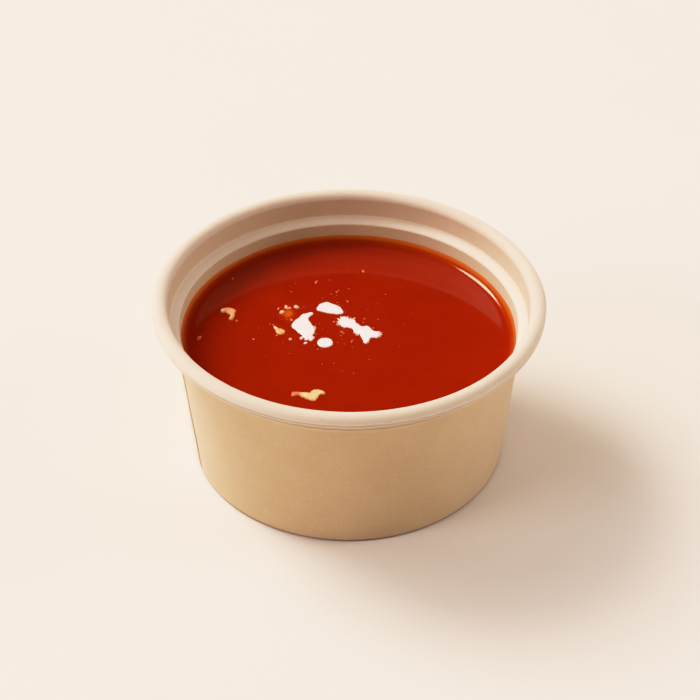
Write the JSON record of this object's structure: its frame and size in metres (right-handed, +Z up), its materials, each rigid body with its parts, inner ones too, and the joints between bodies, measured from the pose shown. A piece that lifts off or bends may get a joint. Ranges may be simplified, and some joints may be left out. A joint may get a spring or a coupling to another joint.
{
  "type": "tomato soup",
  "caption": "Tomato soup in a round paper tub with a rolled rim, topped with small pools of cream and thin pale flakes.",
  "frame": {"origin": "centre of the tub's flat base, on the surface it stands on", "axes": "+Z up along the tub's axis; +Y away from the viewer who has the long flake in front"},
  "size_m": [0.115, 0.115, 0.0545],
  "materials": {
    "tub_paper": "matte",
    "soup": "gloss",
    "cream": "satin",
    "flake": "satin"
  },
  "bodies": {
    "root": {"container": "tub_paper", "soup": "soup", "cream_back": "cream", "cream_left": "cream", "cream_right": "cream", "cream_drop": "cream", "flake_front": "flake", "flake_left": "flake"}
  },
  "joints": []
}
